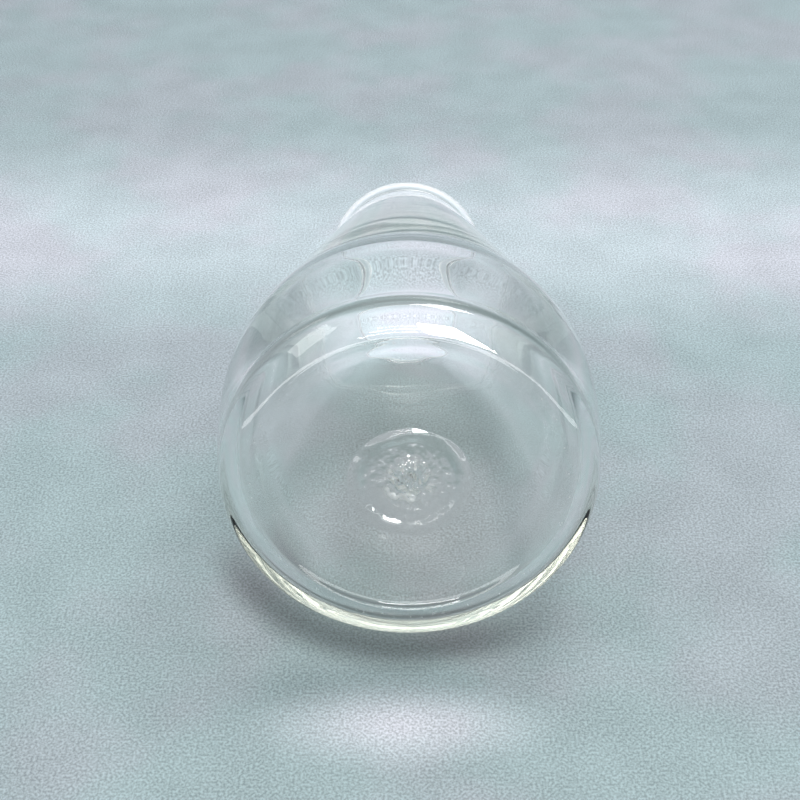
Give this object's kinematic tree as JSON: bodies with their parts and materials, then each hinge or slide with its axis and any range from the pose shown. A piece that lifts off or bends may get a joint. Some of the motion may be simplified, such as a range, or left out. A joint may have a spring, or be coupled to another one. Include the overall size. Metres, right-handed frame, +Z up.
{
  "type": "flask",
  "caption": "Clear mouth-blown glass flask with a round bulb, a flat standing base, a long tapering neck and a rolled lip, lying on its side.",
  "frame": {"origin": "the middle of the bounding box in X and Y, at the level of the table that the flask lies on", "axes": "+Y runs level from the base towards the mouth; the flask's own axis falls about 11 degrees below it on the way to the mouth. +Z is up. The flask is the same on both sides of X = 0."},
  "size_m": [0.1, 0.1722, 0.1019],
  "materials": {
    "glass": "glossy",
    "scar_glass": "rough"
  },
  "bodies": {
    "root": {"base_plate": "glass", "heel": "glass", "bulb_wall": "glass", "neck": "glass", "lip": "glass", "pontil_scar": "scar_glass"}
  },
  "joints": []
}
